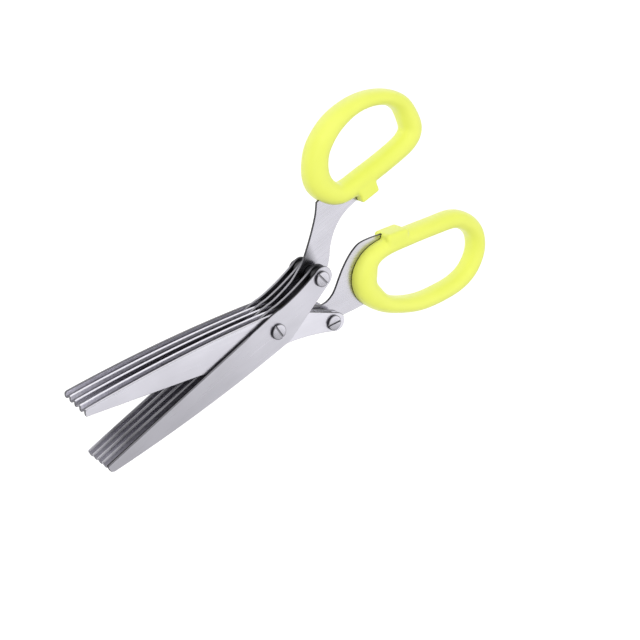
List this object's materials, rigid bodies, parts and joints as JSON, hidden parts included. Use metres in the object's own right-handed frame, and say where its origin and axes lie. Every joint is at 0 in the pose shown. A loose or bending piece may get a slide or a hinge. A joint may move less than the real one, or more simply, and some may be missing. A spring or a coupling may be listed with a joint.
{
  "type": "herb scissors",
  "caption": "Herb scissors with stacked parallel steel blades on a slotted pivot screw, rear spacer screws and two closed moulded handle loops of unequal size.",
  "frame": {"origin": "on the pivot axis, at the flat foot of the pivot nut", "axes": "+X from the pivot towards the blade tips along the middle of the opening, +Z along the pivot axis towards the slotted screw heads, +Y towards the thumb blade's tip"},
  "size_m": [0.1872, 0.1001, 0.0185],
  "materials": {
    "blade_steel": "satin stainless steel, brushed along the blade",
    "turned_steel": "turned stainless steel, bright edge and fine rings on the head",
    "dull_steel": "plain steel washers and spacers",
    "lime_plastic": "smooth lime yellow moulding, soft gloss"
  },
  "bodies": {
    "thumb_half": {"thumb_blade_1": "blade_steel", "thumb_blade_2": "blade_steel", "thumb_main_blade": "blade_steel", "thumb_blade_4": "blade_steel", "thumb_blade_5": "blade_steel", "thumb_handle": "lime_plastic", "thumb_rear_screw": "turned_steel", "thumb_rear_nut": "turned_steel", "thumb_spacer_1": "dull_steel", "thumb_spacer_2": "dull_steel", "thumb_spacer_3": "dull_steel", "thumb_spacer_4": "dull_steel", "pivot_screw": "turned_steel", "pivot_nut": "turned_steel", "pivot_washer_1": "dull_steel", "pivot_washer_2": "dull_steel", "pivot_washer_3": "dull_steel", "pivot_washer_4": "dull_steel"},
    "finger_half": {"finger_blade_1": "blade_steel", "finger_blade_2": "blade_steel", "finger_main_blade": "blade_steel", "finger_blade_4": "blade_steel", "finger_blade_5": "blade_steel", "finger_handle": "lime_plastic", "finger_rear_screw": "turned_steel", "finger_rear_nut": "turned_steel", "finger_spacer_1": "dull_steel", "finger_spacer_2": "dull_steel", "finger_spacer_3": "dull_steel", "finger_spacer_4": "dull_steel"}
  },
  "joints": [
    {"name": "pivot_hinge", "type": "hinge", "parent": "thumb_half", "child": "finger_half", "pos_m": [0, 0, 0], "axis": [0, 0, 1], "range_deg": [-37, 18]}
  ]
}
